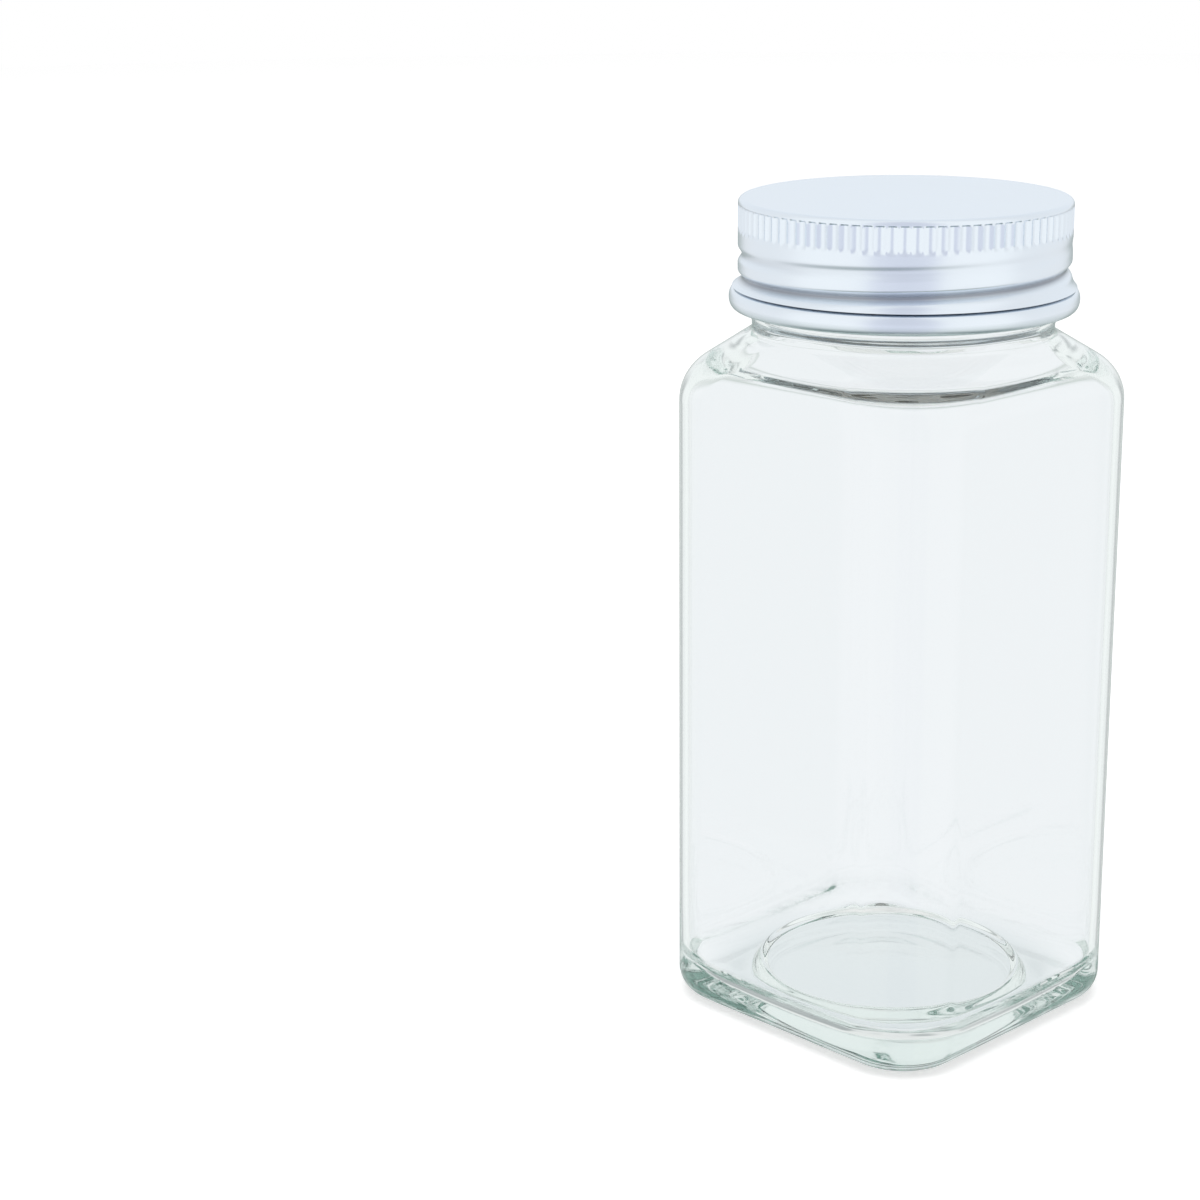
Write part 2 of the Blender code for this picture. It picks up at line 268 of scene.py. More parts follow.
def soda_lime_glass():
    # Pressed and blown flint glass: clear, bright at its surfaces, green where it is seen edge on,
    # with long shallow waves left by the mould
    material, tree = new_material("soda_lime_glass")
    place = add_node(tree, "ShaderNodeTexCoord").outputs["Object"]
    waves = add_node(
        tree,
        "ShaderNodeTexNoise",
        {"Vector": place, "Scale": 1 / (14 * MM), "Detail": 1.0, "Roughness": 0.4},
    )
    bump = add_node(
        tree,
        "ShaderNodeBump",
        {"Height": waves.outputs["Fac"], "Strength": 0.25, "Distance": 0.05 * MM},
    )
    shader = add_node(
        tree,
        "ShaderNodeBsdfPrincipled",
        {
            "Base Color": linear("#FFFFFF"),
            "Roughness": 0.0,
            "IOR": 1.52,
            "Transmission Weight": 1.0,
            "Normal": bump.outputs["Normal"],
        },
    )
    tint = add_node(
        tree, "ShaderNodeVolumeAbsorption", {"Color": linear("#6EB8A8"), "Density": 3.0}
    )
    add_node(
        tree,
        "ShaderNodeOutputMaterial",
        {"Surface": shader.outputs["BSDF"], "Volume": tint.outputs["Volume"]},
    )
    return material


def rolled_aluminium():
    # Thin aluminium sheet, drawn and rolled, with a clear satin lacquer: a pale bluish metal whose
    # fine rolling lines, drawn coarse enough to show, blur what it mirrors. Painted shade darkens
    # it in the groove and in the open gap over the rolled curl, and under the curl it has painted
    # shade and a painted greenish reflection of the glass that it faces
    material, tree = new_material("rolled_aluminium")
    place = add_node(tree, "ShaderNodeTexCoord").outputs["Object"]
    split = add_node(tree, "ShaderNodeSeparateXYZ", {"Vector": place})
    across = add_node(
        tree,
        "ShaderNodeCombineXYZ",
        {"X": split.outputs["X"], "Y": split.outputs["Y"]},
    )
    reach = add_node(
        tree, "ShaderNodeVectorMath", {0: across.outputs["Vector"]}, operation="LENGTH"
    )
    rows = add_node(
        tree,
        "ShaderNodeCombineXYZ",
        {"X": reach.outputs["Value"], "Y": split.outputs["Z"]},
    )
    lines = add_node(
        tree,
        "ShaderNodeTexNoise",
        {"Vector": rows.outputs["Vector"], "Scale": 1 / (0.35 * MM), "Detail": 2.0},
    )
    clouds = add_node(
        tree,
        "ShaderNodeTexNoise",
        {"Vector": place, "Scale": 1 / (9 * MM), "Detail": 3.0},
    )
    colour = add_node(
        tree,
        "ShaderNodeMix",
        {0: clouds.outputs["Fac"], 6: linear("#E3EBF3"), 7: linear("#EAF1F8")},
        data_type="RGBA",
    )
    # Painted shade deep in the groove and in the open gap over the curl
    crevice_painted_shade = add_node(tree, "ShaderNodeAttribute", attribute_name="crevice_painted_shade").outputs["Fac"]
    # Painted shade and a painted greenish reflection of the glass under the curl
    curl_painted_shade_and_reflection = add_node(tree, "ShaderNodeAttribute", attribute_name="curl_painted_shade_and_reflection").outputs["Fac"]
    dimmed = add_node(
        tree,
        "ShaderNodeMix",
        {0: crevice_painted_shade, 6: colour.outputs[2], 7: linear("#6A707C")},
        data_type="RGBA",
    )
    shaded = add_node(
        tree,
        "ShaderNodeMix",
        {0: curl_painted_shade_and_reflection, 6: dimmed.outputs[2], 7: linear("#86A096")},
        data_type="RGBA",
    )
    gloss = add_node(
        tree,
        "ShaderNodeMapRange",
        {"Value": clouds.outputs["Fac"], "To Min": 0.20, "To Max": 0.30},
    )
    bump = add_node(
        tree,
        "ShaderNodeBump",
        {"Height": lines.outputs["Fac"], "Strength": 0.12, "Distance": 0.02 * MM},
    )
    shader = add_node(
        tree,
        "ShaderNodeBsdfPrincipled",
        {
            "Base Color": shaded.outputs[2],
            "Roughness": gloss.outputs["Result"],
            "Metallic": 1.0,
            "Normal": bump.outputs["Normal"],
        },
    )
    add_node(tree, "ShaderNodeOutputMaterial", {"Surface": shader.outputs["BSDF"]})
    return material


def moulded_polypropylene():
    # Natural white injection-moulded plastic: soft sheen, slightly waxy, faint mould grain
    material, tree = new_material("moulded_polypropylene")
    place = add_node(tree, "ShaderNodeTexCoord").outputs["Object"]
    grain = add_node(
        tree,
        "ShaderNodeTexNoise",
        {"Vector": place, "Scale": 1 / (0.4 * MM), "Detail": 3.0},
    )
    colour = add_node(
        tree,
        "ShaderNodeMix",
        {0: grain.outputs["Fac"], 6: linear("#E6E7E2"), 7: linear("#F1F1EC")},
        data_type="RGBA",
    )
    bump = add_node(
        tree,
        "ShaderNodeBump",
        {"Height": grain.outputs["Fac"], "Strength": 0.2, "Distance": 0.02 * MM},
    )
    shader = add_node(
        tree,
        "ShaderNodeBsdfPrincipled",
        {
            "Base Color": colour.outputs[2],
            "Roughness": 0.42,
            "IOR": 1.49,
            "Subsurface Weight": 0.3,
            "Subsurface Radius": (1.2, 1.1, 1.0),
            "Subsurface Scale": 0.6 * MM,
            "Normal": bump.outputs["Normal"],
        },
    )
    add_node(tree, "ShaderNodeOutputMaterial", {"Surface": shader.outputs["BSDF"]})
    return material


def foamed_polyethylene():
    # Cut foam sheet: matt off-white, with cells about a third of a millimetre wide
    material, tree = new_material("foamed_polyethylene")
    place = add_node(tree, "ShaderNodeTexCoord").outputs["Object"]
    cells = add_node(
        tree, "ShaderNodeTexVoronoi", {"Vector": place, "Scale": 1 / (0.35 * MM)}
    )
    colour = add_node(
        tree,
        "ShaderNodeMix",
        {0: cells.outputs["Distance"], 6: linear("#D9D8D0"), 7: linear("#ECEBE5")},
        data_type="RGBA",
    )
    bump = add_node(
        tree,
        "ShaderNodeBump",
        {"Height": cells.outputs["Distance"], "Strength": 0.4, "Distance": 0.05 * MM},
    )
    shader = add_node(
        tree,
        "ShaderNodeBsdfPrincipled",
        {"Base Color": colour.outputs[2], "Roughness": 0.85, "Normal": bump.outputs["Normal"]},
    )
    add_node(tree, "ShaderNodeOutputMaterial", {"Surface": shader.outputs["BSDF"]})
    return material


# Shapes that the pieces share


def evenly(start, end, steps):
    return [start + (end - start) * i / steps for i in range(steps + 1)]


def arc(centre, reach, rise, start, end, steps):
    """Points along an elliptical arc of an outline, as (outwards, up)."""
    return [
        (centre[0] + reach * math.cos(angle), centre[1] + rise * math.sin(angle))
        for angle in evenly(start, end, steps)
    ]


def thread_share(angle, height, first, last, run_out, offset, width):
    """The share of its full height that a helical ridge has at this place, from 0 to 1."""
    share = 0.0
    for turn in THREAD_TURNS:
        along = angle - THREAD_START + TAU * turn
        centre = CAP_BOTTOM + GROOVE_RISE + offset + THREAD_LEAD * along / TAU
        across = 2 * abs(height - centre) / width
        if first < along < last and across < 1:
            fade = min(1.0, (along - first) / THREAD_RUN_IN, (last - along) / run_out)
            fade = fade * fade * (3 - 2 * fade)
            share = max(share, fade * math.cos(across * math.pi / 2) ** 2)
    return share


def push_out(vert, distance):
    radius = math.hypot(vert.co.x, vert.co.y)
    scale = (radius + distance) / radius
    vert.co.x *= scale
    vert.co.y *= scale


def finished(name, bm, material, body, node):
    """Makes the piece that stands for a CAD node, smooth and facing outwards, and rides it."""
    bmesh.ops.remove_doubles(bm, verts=bm.verts, dist=WELD)
    bmesh.ops.dissolve_degenerate(bm, edges=bm.edges, dist=WELD / 2)
    bmesh.ops.recalc_face_normals(bm, faces=bm.faces)
    mesh = bpy.data.meshes.new(name)
    bm.to_mesh(mesh)
    bm.free()
    mesh.shade_smooth()
    mesh.set_sharp_from_angle(angle=SHARP_ANGLE)
    mesh.materials.append(material)
    piece = bpy.data.objects.new(name, mesh)
    bpy.context.scene.collection.objects.link(piece)
    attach(piece, body)
    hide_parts(node)
    return piece


def turned(outline, columns):
    """Spins an outline of (radius, height) points by an eighth of a turn, and doubles it thrice."""
    bm = bmesh.new()
    verts = [bm.verts.new((radius, 0, height)) for radius, height in outline]
    edges = [bm.edges.new(pair) for pair in zip(verts, verts[1:])]
    bmesh.ops.spin(
        bm,
        geom=verts + edges,
        cent=(0, 0, 0),
        axis=(0, 0, 1),
        dvec=(0, 0, 0),
        angle=TAU / 8,
        steps=columns // 8,
        use_merge=False,
    )
    for turn in (TAU / 8, TAU / 4, TAU / 2):
        copy = bmesh.ops.duplicate(bm, geom=bm.verts[:] + bm.edges[:] + bm.faces[:])["geom"]
        verts = [item for item in copy if isinstance(item, bmesh.types.BMVert)]
        bmesh.ops.rotate(bm, verts=verts, cent=(0, 0, 0), matrix=Matrix.Rotation(turn, 3, "Z"))
    bmesh.ops.remove_doubles(bm, verts=bm.verts, dist=WELD)
    return bm


# Glass jar: one ring of points, extruded from level to level


def square_point(half, corner, quarter, part):
    """A point on a rounded square: on a corner's arc up to part 1, and on the next flat up to 2."""
    centre = half - corner
    turn = Matrix.Rotation(quarter * TAU / 4, 2)
    if part <= 1:
        angle = part * TAU / 4
        out = Vector((math.cos(angle), math.sin(angle)))
        return turn @ (Vector((centre, centre)) + corner * out)
    share = (1 - math.cos((part - 1) * math.pi)) / 2
    return turn @ Vector((centre * (1 - 2 * share), half))


def round_point(quarter, part):
    """The unit circle's point for the same column: a corner takes 60 degrees of it, a flat 30."""
    share = part - 0.5 if part <= 1 else (1 - math.cos((part - 1) * math.pi)) / 4 + 0.5
    angle = quarter * TAU / 4 + TAU / 8 + share * TAU / 6
    return Vector((math.cos(angle), math.sin(angle)))


def jar_columns():
    """Where round the jar each column of points stands, as (quarter, part of it)."""
    parts = evenly(0, 1, CORNER_STEPS) + evenly(1, 2, FLAT_STEPS)[1:-1]
    return [(quarter, part) for quarter in range(4) for part in parts]


def corner_reach(half, corner):
    """From the axis to the middle of a rounded square's corner."""
    return (half - corner) * math.sqrt(2) + corner


def shoulder_outline(half, corner, rounding, slope, meet, radius, fillet):
    """At a corner, up the side, over the shoulder and to the neck, as (share inwards, height)."""
    reach = corner_reach(half, corner)
    turn = TAU / 4 - slope
    top = meet + (reach - radius) * math.tan(slope)
    start = meet - rounding * math.tan(turn / 2)
    outline = arc((reach - rounding, start), rounding, rounding, 0, turn, ROUND_STEPS)
    side = radius + fillet
    level = top + fillet * math.tan(turn / 2)
    neck = arc((side, level), fillet, fillet, math.pi + turn, math.pi, ROUND_STEPS)
    widths = evenly(outline[-1][0], neck[0][0], ROUND_STEPS)
    heights = evenly(outline[-1][1], neck[0][1], ROUND_STEPS)
    outline += list(zip(widths, heights))[1:-1] + neck
    return [((reach - x) / (reach - radius), z) for x, z in outline]


def jar_levels():
    """Up the outside, over the lip and down the inside.

    Each level is half the square's width, its corner radius, how much of the circle's shape it has,
    the circle's radius, and the height.
    """
    levels = []
    body = (BODY_HALF, CORNER_RADIUS)
    for share in evenly(0, 1, 2 * ROUND_STEPS):
        height = PUSH_UP_DEPTH * math.cos(share * TAU / 4) ** 2
        levels.append((*body, 1, PUSH_UP_RADIUS * share, height))
    heel = (HEEL_RADIUS, HEEL_RADIUS)
    for inset, height in arc(heel, *heel, TAU * 3 / 4, TAU / 2, ROUND_STEPS):
        levels.append((BODY_HALF - inset, CORNER_RADIUS - inset, 0, 0, height))
    meet = SHOULDER_TOP - (corner_reach(*body) - NECK_RADIUS) * math.tan(SHOULDER_SLOPE)
    outline = shoulder_outline(
        *body, SHOULDER_ROUND, SHOULDER_SLOPE, meet, NECK_RADIUS, NECK_FILLET
    )
    for height in evenly(HEEL_RADIUS, outline[0][1], FLAT_STEPS)[1:-1]:
        levels.append((*body, 0, 0, height))
    for share, height in outline:
        levels.append((*body, share, NECK_RADIUS, height))
    start = outline[-1][1]
    end = MOUTH_HEIGHT - LIP_ROUND
    for height in evenly(start, end, round((end - start) / NECK_ROW))[1:]:
        levels.append((*body, 1, NECK_RADIUS, height))
    lip = (LIP_ROUND, LIP_ROUND)
    rounding = arc((NECK_RADIUS - LIP_ROUND, end), *lip, 0, TAU / 4, ROUND_STEPS // 2)[1:]
    rounding += arc((BORE_RADIUS + LIP_ROUND, end), *lip, TAU / 4, TAU / 2, ROUND_STEPS // 2)
    for radius, height in rounding:
        levels.append((*body, 1, radius, height))
    inside = (BODY_HALF - GLASS_WALL, CORNER_RADIUS - GLASS_WALL)
    meet -= INNER_DROP
    outline = shoulder_outline(*inside, INNER_ROUND, INNER_SLOPE, meet, BORE_RADIUS, BORE_FILLET)
    for height in evenly(end, outline[-1][1], FLAT_STEPS)[1:-1]:
        levels.append((*inside, 1, BORE_RADIUS, height))
    for share, height in reversed(outline):
        levels.append((*inside, share, BORE_RADIUS, height))
    bowl = FLOOR_HEIGHT + BOWL_RISE
    for height in evenly(outline[0][1], bowl, FLAT_STEPS)[1:-1]:
        levels.append((*inside, 0, 0, height))
    for share, height in arc((1, bowl), 1, BOWL_RISE, TAU / 2, TAU * 3 / 4, 2 * ROUND_STEPS):
        levels.append((*inside, share, FLOOR_RADIUS, height))
    floor = (
        (FLOOR_RADIUS, 0),
        (RING_RADIUS, RING_RISE),
        (DISH_RADIUS, DISH_RISE),
        (0, DISH_RISE + FLOOR_CROWN),
    )
    for (radius, rise), (next_radius, next_rise) in zip(floor, floor[1:]):
        for share in evenly(0, 1, ROUND_STEPS)[1:]:
            soft = math.sin(share * TAU / 4) ** 2
            height = FLOOR_HEIGHT + rise + (next_rise - rise) * soft
            levels.append((*inside, 1, radius + (next_radius - radius) * share, height))
    return levels


def make_jar():
    """Grows the ring from level to level, and pushes the thread and the collar out of the neck."""
    columns = jar_columns()
    levels = jar_levels()
    bm = bmesh.new()
    number = bm.verts.layers.int.new("column")
    circle = bmesh.ops.create_circle(bm, cap_ends=False, radius=NECK_RADIUS, segments=len(columns))
    verts = circle["verts"]
    for i, vert in enumerate(verts):
        vert[number] = i
    edges = list(bm.edges)
    for step, (half, corner, share, radius, height) in enumerate(levels):
        if step:
            grown = bmesh.ops.extrude_edge_only(bm, edges=edges)["geom"]
            verts = [item for item in grown if isinstance(item, bmesh.types.BMVert)]
            edges = [item for item in grown if isinstance(item, bmesh.types.BMEdge)]
        for vert in verts:
            column = columns[vert[number]]
            square = square_point(half, corner, *column)
            vert.co = (*square.lerp(radius * round_point(*column), share), height)
    for vert in bm.verts:
        if vert.co.z > SHOULDER_TOP and math.hypot(vert.co.x, vert.co.y) > NECK_RADIUS - WELD:
            angle = math.atan2(vert.co.y, vert.co.x)
            bead = (BEAD_FIRST, BEAD_LAST, THREAD_RUN_IN, THREAD_LEAD / 2, BEAD_WIDTH)
            thread = BEAD_HEIGHT * thread_share(angle, vert.co.z, *bead)
            across = min(1, 2 * abs(vert.co.z - SHOULDER_TOP - COLLAR_RISE) / COLLAR_WIDTH)
            push_out(vert, max(thread, COLLAR_HEIGHT * math.cos(across * TAU / 4) ** 2))
    return finished("jar_glass", bm, soda_lime_glass(), "jar", "glass_jar")


# Shaker insert, liner and cap


def make_insert():
    top = insert_high.z
    bottom = insert_low.z
    flange_radius = insert_high.x
    flange_bottom = MOUTH_HEIGHT + FIT_GAP
    plug_radius = BORE_RADIUS - FIT_GAP
    well_radius = plug_radius - PLUG_WALL
    sieve_top = bottom + SIEVE_THICKNESS
    soft = INSERT_ROUND
    outline = [(0, sieve_top), (well_radius - soft, sieve_top)]
    outline += arc((well_radius - soft, sieve_top + soft), soft, soft, -TAU / 4, 0, SMALL_STEPS)[1:]
    outline += arc((well_radius + soft, top - soft), soft, soft, TAU / 2, TAU / 4, SMALL_STEPS)
    edge = flange_radius - soft
    outline += arc((edge, top - soft), soft, soft, TAU / 4, 0, SMALL_STEPS)
    outline += arc((edge, flange_bottom + soft), soft, soft, 0, -TAU / 4, SMALL_STEPS)
    outline += [(plug_radius, flange_bottom)]
    outline += arc((plug_radius - soft, bottom + soft), soft, soft, 0, -TAU / 4, SMALL_STEPS)
    outline += [(0, bottom)]
    bm = turned(outline, INSIDE_COLUMNS)
    piece = finished("sieve_insert", bm, moulded_polypropylene(), "jar", "shaker_insert")
    drills = bmesh.new()
    pitch = SIEVE_HOLE_DIAMETER + SIEVE_WEB
    places = [(0, 0)]
    for i in range(SIEVE_RING_HOLES):
        angle = TAU * i / SIEVE_RING_HOLES
        places.append((pitch * math.cos(angle), pitch * math.sin(angle)))
    for x, y in places:
        made = bmesh.ops.create_cone(
            drills,
            cap_ends=True,
            segments=HOLE_COLUMNS,
            radius1=SIEVE_HOLE_DIAMETER / 2,
            radius2=SIEVE_HOLE_DIAMETER / 2,
            depth=4 * SIEVE_THICKNESS,
        )
        bmesh.ops.translate(drills, verts=made["verts"], vec=(x, y, bottom + SIEVE_THICKNESS / 2))
    cutter_mesh = bpy.data.meshes.new("drills")
    drills.to_mesh(cutter_mesh)
    drills.free()
    cutter = bpy.data.objects.new("drills", cutter_mesh)
    bpy.context.scene.collection.objects.link(cutter)
    cut = piece.modifiers.new("holes", "BOOLEAN")
    cut.operation = "DIFFERENCE"
    cut.object = cutter
    evaluated = piece.evaluated_get(bpy.context.evaluated_depsgraph_get())
    drilled = bpy.data.meshes.new_from_object(evaluated)
    piece.modifiers.clear()
    piece.data = drilled
    bpy.data.objects.remove(cutter)
    return piece


def make_liner():
    soft = LINER_ROUND
    radius = liner_high.x
    outline = [(0, liner_low.z)]
    outline += arc((radius - soft, liner_low.z + soft), soft, soft, -TAU / 4, 0, SMALL_STEPS)
    outline += arc((radius - soft, liner_high.z - soft), soft, soft, 0, TAU / 4, SMALL_STEPS)
    outline += [(0, liner_high.z)]
    bm = turned(outline, INSIDE_COLUMNS)
    return finished("foam_liner", bm, foamed_polyethylene(), "liner", "cap_liner")


def cap_outline():
    """Down the outside from the middle of the top, round the curl, and up the inside."""
    top_radius = CAP_RADIUS - RIM_WIDTH
    flute_top = CAP_TOP - RIM_DROP
    skirt_bottom = CAP_BOTTOM + CURL_HEIGHT + CREASE_WIDTH
    bore = CAP_RADIUS - CAP_WALL
    outside = [(top_radius * share, CAP_TOP) for share in CAP_TOP_RINGS]
    outside += arc((top_radius, flute_top), RIM_WIDTH, RIM_DROP, TAU / 4, 0, RIM_STEPS)
    rows = round((flute_top - skirt_bottom) / CAP_ROW)
    inside = []
    for height in evenly(flute_top, skirt_bottom, rows)[1:]:
        flare = max(0.0, 1 - (height - skirt_bottom) / FLARE_RISE) ** 2
        outside.append((CAP_RADIUS + SKIRT_FLARE * flare, height))
    for height in evenly(skirt_bottom, flute_top - FLUTE_LENGTH, rows // 2):
        inside.append((bore, height))
    lip = CAP_RADIUS + SKIRT_FLARE
    crease = [
        (lip - CREASE_DEPTH * share, skirt_bottom - CREASE_WIDTH * share / 2)
        for share in (0.5, 1.0)
    ]
    middle = (CAP_RADIUS + CURL_PROUD - CURL_WIDTH / 2, CAP_BOTTOM + CURL_HEIGHT / 2)
    curl = arc(middle, CURL_WIDTH / 2, CURL_HEIGHT / 2, CURL_SEAM, -TAU / 4, CURL_STEPS)
    curl += arc(middle, middle[0] - bore, CURL_HEIGHT / 2, -TAU / 4, -TAU / 2, CAP_BORE_STEPS)[1:]
    flute_bore = bore - FLUTE_DEPTH
    inside += [(flute_bore, flute_top - FLUTE_LENGTH + FLUTE_FADE_BOTTOM)]
    inner_rim = (flute_bore - top_radius, RIM_DROP - CAP_WALL)
    inside += arc((top_radius, flute_top), *inner_rim, 0, TAU / 4, CAP_BORE_STEPS)
    return outside + crease + curl + inside + [(0, CAP_TOP - CAP_WALL)]


def flute_share(angle, height):
    """How deep the flutes are here, from 0 to 1."""
    top = CAP_TOP - RIM_DROP
    bottom = top - FLUTE_LENGTH
    ends = min((top - height) / FLUTE_FADE_TOP, (height - bottom) / FLUTE_FADE_BOTTOM)
    ends = max(0.0, min(1.0, ends))
    ends = ends * ends * (3 - 2 * ends)
    return ends * abs(math.sin(angle * FLUTES / 2))


def make_cap():
    bm = turned(cap_outline(), CAP_COLUMNS)
    low = CAP_BOTTOM + CURL_HEIGHT + CREASE_WIDTH - WELD
    high = CAP_TOP - RIM_DROP - FLUTE_LENGTH
    crevice_painted_shade = bm.verts.layers.float.new("crevice_painted_shade")
    curl_painted_shade_and_reflection = bm.verts.layers.float.new("curl_painted_shade_and_reflection")
    for vert in bm.verts:
        radius = math.hypot(vert.co.x, vert.co.y)
        angle = math.atan2(vert.co.y, vert.co.x)
        height = vert.co.z
        if CAP_BOTTOM + CURL_HEIGHT < height < low and CAP_RADIUS - CAP_WALL < radius - WELD:
            # Painted shade in the open gap over the curl
            vert[crevice_painted_shade] = CREASE_SHADE
        elif radius > CAP_RADIUS - WELD and height > high:
            push_out(vert, -FLUTE_DEPTH * flute_share(angle, height))
        elif radius > CAP_RADIUS - CAP_WALL - WELD and low < height <= high:
            groove = (0, GROOVE_LAST, GROOVE_RUN_OUT, 0, GROOVE_WIDTH)
            share = thread_share(angle, height, *groove)
            push_out(vert, -GROOVE_DEPTH * share)
            # Painted shade deep in the groove
            vert[crevice_painted_shade] = GROOVE_SHADE * share ** 3
        elif height < CAP_BOTTOM + CURL_HEIGHT / 2:
            # Painted shade and a painted greenish reflection of the glass, stronger towards the
            # curl's bottom
            vert[curl_painted_shade_and_reflection] = CURL_SHADE * (1 - 2 * (height - CAP_BOTTOM) / CURL_HEIGHT)
    return finished("aluminium_cap", bm, rolled_aluminium(), "cap", "screw_cap")


# Stage: the eye sees a white backdrop, also through the glass, and mirrors see the studio's room


def ray_kinds(tree):
    """Whether a ray lights a matt surface, whether it was mirrored, and whether it met glass."""
    rays = add_node(tree, "ShaderNodeLightPath").outputs
    mirrored, entered = (
        add_node(
            tree, "ShaderNodeMath", {0: rays[depth], 1: 0.5}, operation="GREATER_THAN"
        ).outputs["Value"]
        for depth in ("Glossy Depth", "Transmission Depth")
    )
    return rays["Is Diffuse Ray"], mirrored, entered


def make_floor():
    bm = bmesh.new()
    bmesh.ops.create_circle(bm, cap_ends=True, radius=FLOOR_REACH, segments=FLOOR_COLUMNS)
    bmesh.ops.translate(bm, verts=bm.verts, vec=(0, 0, -FLOOR_DROP))
    mesh = bpy.data.meshes.new("floor")
    bm.to_mesh(mesh)
    bm.free()
    # Matt white paper, which only mirrored rays miss, so that mirrors show an even room below level
    material, tree = new_material("white_paper")
    diffuse, mirrored, entered = ray_kinds(tree)
    paper = add_node(tree, "ShaderNodeBsdfDiffuse", {"Color": linear("#F2F2F2")})
    glow = add_node(
        tree, "ShaderNodeEmission", {"Color": linear("#FFFFFF"), "Strength": PAPER_GLOW}
    )
    lit = add_node(
        tree, "ShaderNodeAddShader", {0: paper.outputs["BSDF"], 1: glow.outputs["Emission"]}
    )
    place = add_node(tree, "ShaderNodeTexCoord").outputs["Object"]
    reach = add_node(tree, "ShaderNodeVectorMath", {0: place}, operation="LENGTH")
    away = add_node(
        tree,
        "ShaderNodeMapRange",
        {
            "Value": reach.outputs["Value"],
            "From Min": SHADE_RADIUS,
            "From Max": SHADE_RADIUS + SHADE_FADE,
        },
    )
    # Painted shadow: seen through the glass, the paper is darker near the jar, inside SHADE_RADIUS
    shade = add_node(
        tree,
        "ShaderNodeMix",
        {0: away.outputs["Result"], 6: linear(PAPER_PAINTED_SHADOW), 7: linear(BACKDROP)},
        data_type="RGBA",
    )
    backdrop = add_node(tree, "ShaderNodeEmission", {"Color": shade.outputs[2], "Strength": 1.0})
    missed = add_node(tree, "ShaderNodeBsdfTransparent")
    direct = add_node(
        tree,
        "ShaderNodeMixShader",
        {0: entered, 1: lit.outputs["Shader"], 2: backdrop.outputs["Emission"]},
    )
    seen = add_node(
        tree,
        "ShaderNodeMixShader",
        {0: mirrored, 1: direct.outputs["Shader"], 2: missed.outputs["BSDF"]},
    )
    surface = add_node(
        tree,
        "ShaderNodeMixShader",
        {0: diffuse, 1: seen.outputs["Shader"], 2: lit.outputs["Shader"]},
    )
    add_node(tree, "ShaderNodeOutputMaterial", {"Surface": surface.outputs["Shader"]})
    mesh.materials.append(material)
    floor = bpy.data.objects.new("floor", mesh)
    bpy.context.scene.collection.objects.link(floor)


def shade_by_angle(tree, angle, low, high, shades):
    """A colour from (degrees, shade) stops along an angle that runs from low to high."""
    share = add_node(
        tree, "ShaderNodeMapRange", {"Value": angle, "From Min": low, "From Max": high}
    )
    ramp = add_node(tree, "ShaderNodeValToRGB", {"Fac": share.outputs["Result"]})
    points = ramp.color_ramp.elements
    for i, (degrees, shade) in enumerate(shades):
        place = (math.radians(degrees) - low) / (high - low)
        point = points[i] if i < 2 else points.new(place)
        point.position = place
        point.color = linear(shade)
    return ramp.outputs["Color"]


def ray_angles(tree):
    """How far a ray points up from level, and how far round from FRONT."""
    way = add_node(tree, "ShaderNodeTexCoord").outputs["Generated"]
    split = add_node(tree, "ShaderNodeSeparateXYZ", {"Vector": way}).outputs
    rise = add_node(tree, "ShaderNodeMath", {0: split["Z"]}, operation="ARCSINE")
    level = add_node(tree, "ShaderNodeCombineXYZ", {"X": split["X"], "Y": split["Y"]})
    level = add_node(
        tree, "ShaderNodeVectorMath", {0: level.outputs["Vector"]}, operation="NORMALIZE"
    )
    towards = add_node(
        tree,
        "ShaderNodeVectorMath",
        {0: level.outputs["Vector"], 1: (math.cos(FRONT), math.sin(FRONT), 0)},
        operation="DOT_PRODUCT",
    )
    turn = add_node(tree, "ShaderNodeMath", {0: towards.outputs["Value"]}, operation="ARCCOSINE")
    return rise.outputs["Value"], turn.outputs["Value"]


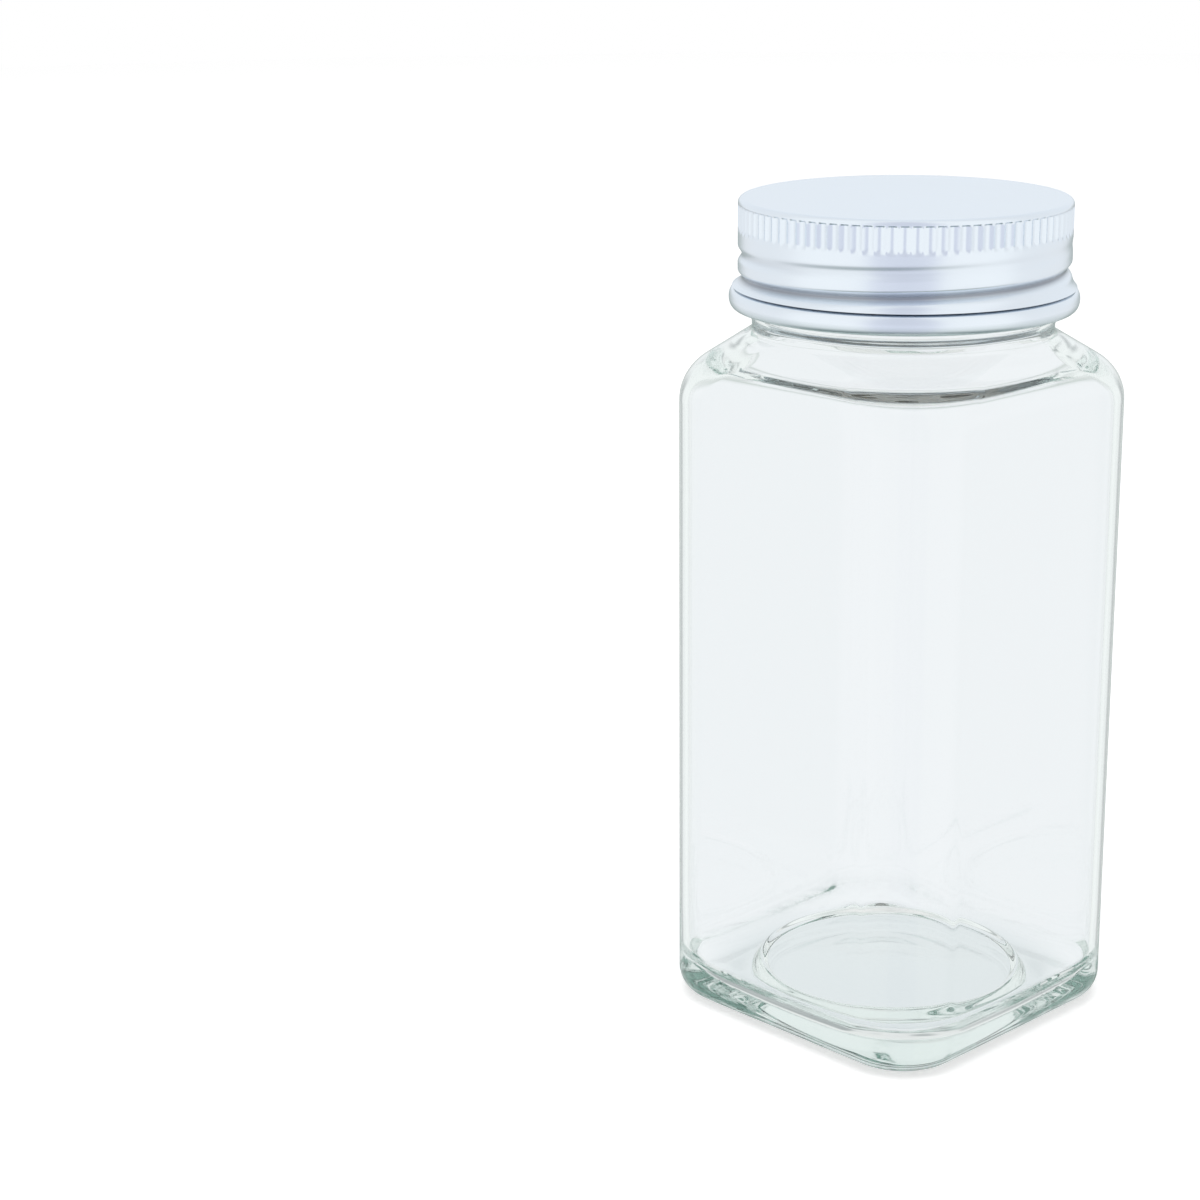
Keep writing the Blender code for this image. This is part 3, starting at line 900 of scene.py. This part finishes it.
def make_world():
    """White to the eye, with the stage's shades through glass, in mirrors and inside the glass."""
    world = bpy.data.worlds.new("studio")
    world.use_nodes = True
    tree = world.node_tree
    tree.nodes.clear()
    diffuse, mirrored, entered = ray_kinds(tree)
    rise, turn = ray_angles(tree)
    half = TAU / 2
    above = add_node(
        tree, "ShaderNodeMapRange", {"Value": rise, "From Min": -HORIZON, "From Max": HORIZON}
    )
    around = add_node(
        tree,
        "ShaderNodeMix",
        {
            0: above.outputs["Result"],
            6: shade_by_angle(tree, turn, 0, half, ROOM_BELOW),
            7: shade_by_angle(tree, turn, 0, half, ROOM_ABOVE),
        },
        data_type="RGBA",
    )
    outside = add_node(
        tree,
        "ShaderNodeMix",
        {0: 1.0, 6: around.outputs[2], 7: shade_by_angle(tree, rise, -half / 2, half / 2, ROOM_UP)},
        data_type="RGBA",
        blend_type="MULTIPLY",
    )
    base = add_node(
        tree, "ShaderNodeMapRange", {"Value": rise, "From Min": EDGES_END, "From Max": BASE_START}
    )
    inside = add_node(
        tree,
        "ShaderNodeMix",
        {
            0: base.outputs["Result"],
            6: shade_by_angle(tree, turn, 0, half, EDGES_ROUND),
            7: shade_by_angle(tree, turn, 0, half, BASE_ROUND),
        },
        data_type="RGBA",
    )
    through = shade_by_angle(tree, rise, -half / 2, half / 2, THROUGH_UP)
    lights = [
        add_node(tree, "ShaderNodeBackground", {"Color": colour, "Strength": strength}).outputs[0]
        for colour, strength in (
            (linear("#FFFFFF"), 1.0),
            (through, 1.0),
            (outside.outputs[2], ROOM_LIGHT),
            (inside.outputs[2], 1.0),
            (linear("#FFFFFF"), DAYLIGHT),
        )
    ]
    direct = add_node(tree, "ShaderNodeMixShader", {0: entered, 1: lights[0], 2: lights[1]})
    room = add_node(tree, "ShaderNodeMixShader", {0: entered, 1: lights[2], 2: lights[3]})
    seen = add_node(
        tree,
        "ShaderNodeMixShader",
        {0: mirrored, 1: direct.outputs["Shader"], 2: room.outputs["Shader"]},
    )
    surface = add_node(
        tree, "ShaderNodeMixShader", {0: diffuse, 1: seen.outputs["Shader"], 2: lights[4]}
    )
    add_node(tree, "ShaderNodeOutputWorld", {"Surface": surface.outputs["Shader"]})
    bpy.context.scene.world = world


def make_lamp():
    """A soft overhead lamp, which mirrors and glass don't show."""
    light = bpy.data.lights.new("overhead", "AREA")
    light.shape = "DISK"
    light.size = LAMP_SIZE
    light.energy = LAMP_WATTS
    lamp = bpy.data.objects.new("overhead", light)
    lamp.location = LAMP_PLACE
    aim = Vector(LAMP_TARGET) - Vector(LAMP_PLACE)
    lamp.rotation_euler = aim.to_track_quat("-Z", "Y").to_euler()
    lamp.visible_glossy = False
    lamp.visible_transmission = False
    bpy.context.scene.collection.objects.link(lamp)


def make_camera():
    data = bpy.data.cameras.new("camera")
    data.lens = CAMERA_LENS
    data.clip_start = 10 * MM
    data.clip_end = 20
    camera = bpy.data.objects.new("camera", data)
    turn = Matrix.Rotation(CAMERA_YAW, 4, "Z")
    tilt = Matrix.Rotation(TAU / 4 - CAMERA_PITCH, 4, "X")
    roll = Matrix.Rotation(CAMERA_ROLL, 4, "Z")
    camera.matrix_world = Matrix.Translation(CAMERA_PLACE) @ turn @ tilt @ roll
    bpy.context.scene.collection.objects.link(camera)
    bpy.context.scene.camera = camera


make_jar()
make_insert()
make_liner()
make_cap()
make_floor()
make_world()
make_lamp()
make_camera()
bpy.context.scene.view_settings.view_transform = "Standard"
# Light that enters the heel runs up the thin wall in hundreds of small turns before it comes out
for kind in ("max_bounces", "glossy_bounces", "transmission_bounces"):
    setattr(bpy.context.scene.cycles, kind, LIGHT_TURNS)
